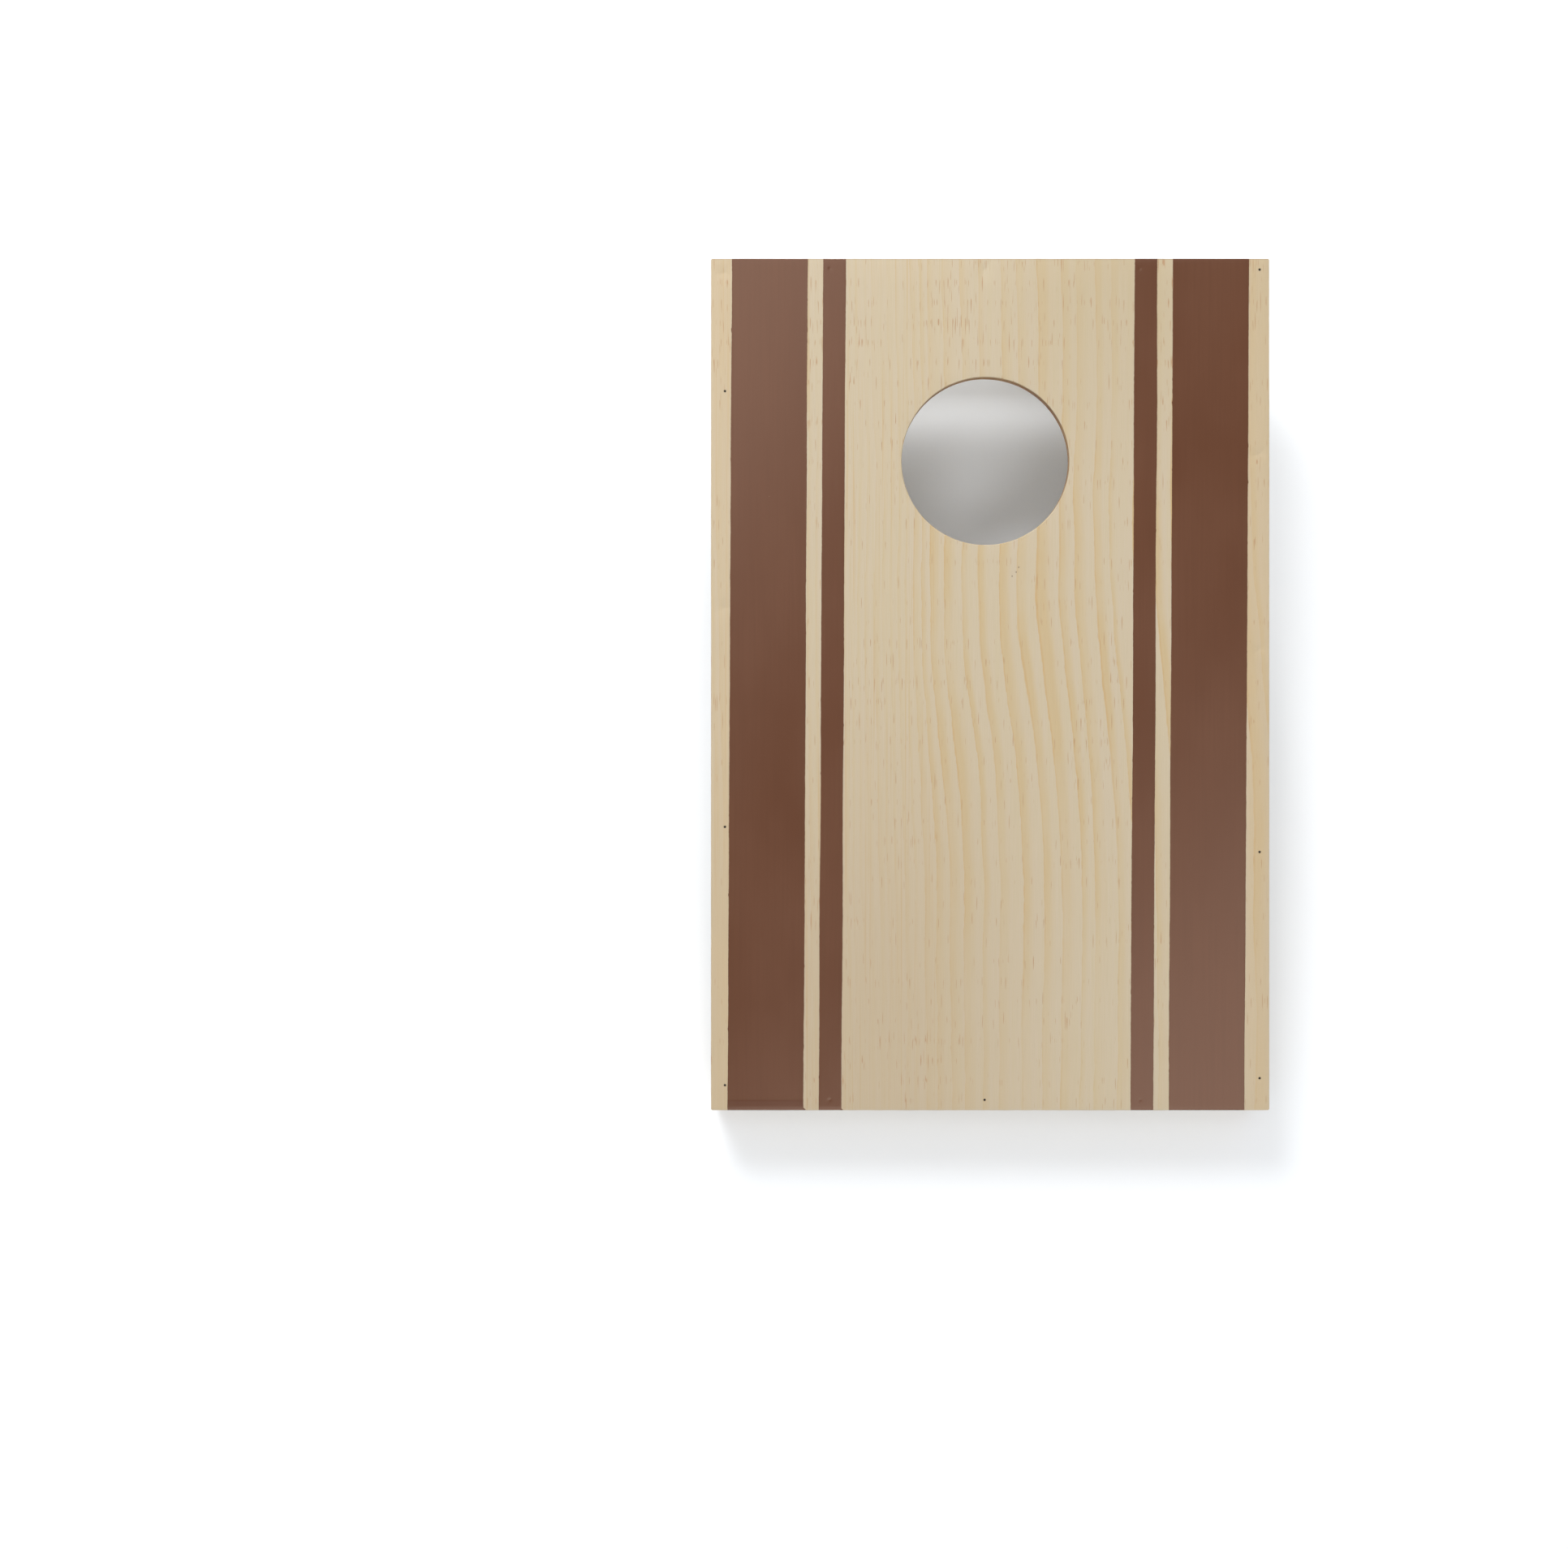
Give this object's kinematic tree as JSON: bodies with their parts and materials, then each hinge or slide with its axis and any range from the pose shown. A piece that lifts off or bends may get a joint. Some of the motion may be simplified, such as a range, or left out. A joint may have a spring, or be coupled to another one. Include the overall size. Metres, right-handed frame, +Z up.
{
  "type": "cornhole board",
  "caption": "Small wooden bean-bag toss board: sloping plywood deck with a round hole and painted stripes, on a pine frame with folding rear legs.",
  "frame": {"origin": "on the floor, under the middle of the standing board's bounding box", "axes": "+Z up, +Y from the low front edge to the raised rear edge, +X to the right seen from the front"},
  "size_m": [0.4, 0.614, 0.1639],
  "materials": {
    "plywood_deck": "sanded pine-faced plywood, bare, plies showing at the edges",
    "pine_frame": "sanded solid pine, bare",
    "brown_paint": "thin satin brown paint",
    "zinc_steel": "zinc-plated steel"
  },
  "bodies": {
    "frame": {"deck_panel": "plywood_deck", "front_brads": "zinc_steel", "front_frame_screws": "zinc_steel", "front_rail": "pine_frame", "left_narrow_stripe": "brown_paint", "left_pivot_bolt": "zinc_steel", "left_side_brads": "zinc_steel", "left_side_rail": "pine_frame", "left_spacer_washer": "zinc_steel", "left_wide_stripe": "brown_paint", "rear_brads": "zinc_steel", "rear_frame_screws": "zinc_steel", "rear_rail": "pine_frame", "right_narrow_stripe": "brown_paint", "right_pivot_bolt": "zinc_steel", "right_side_brads": "zinc_steel", "right_side_rail": "pine_frame", "right_spacer_washer": "zinc_steel", "right_wide_stripe": "brown_paint"},
    "legs": {"left_leg": "pine_frame", "right_leg": "pine_frame", "leg_stretcher": "pine_frame", "stretcher_screws": "zinc_steel"},
    "left_washer": {"left_nut_washer": "zinc_steel"},
    "right_washer": {"right_nut_washer": "zinc_steel"},
    "left_nut": {"left_wing_nut": "zinc_steel"},
    "right_nut": {"right_wing_nut": "zinc_steel"}
  },
  "joints": [
    {"name": "leg_fold", "type": "hinge", "parent": "frame", "child": "legs", "pos_m": [0, 0.26595, 0.12904], "axis": [-1, 0, 0], "range_deg": [0, 90]},
    {"name": "left_nut_travel", "type": "slide", "parent": "frame", "child": "left_washer", "axis": [1, 0, 0], "range_m": [0, 0.003]},
    {"name": "left_nut_turn", "type": "hinge", "parent": "left_washer", "child": "left_nut", "pos_m": [-0.1669, 0.26595, 0.12904], "axis": [1, 0, 0], "range_deg": [0, 1080]},
    {"name": "right_nut_travel", "type": "slide", "parent": "frame", "child": "right_washer", "axis": [-1, 0, 0], "range_m": [0, 0.003]},
    {"name": "right_nut_turn", "type": "hinge", "parent": "right_washer", "child": "right_nut", "pos_m": [0.1669, 0.26595, 0.12904], "axis": [-1, 0, 0], "range_deg": [0, 1080]}
  ],
  "couplings": [
    {"joint": "left_nut_travel", "follows": "left_nut_turn", "m_per_rad": 0.00015915},
    {"joint": "right_nut_travel", "follows": "right_nut_turn", "m_per_rad": 0.00015915}
  ]
}
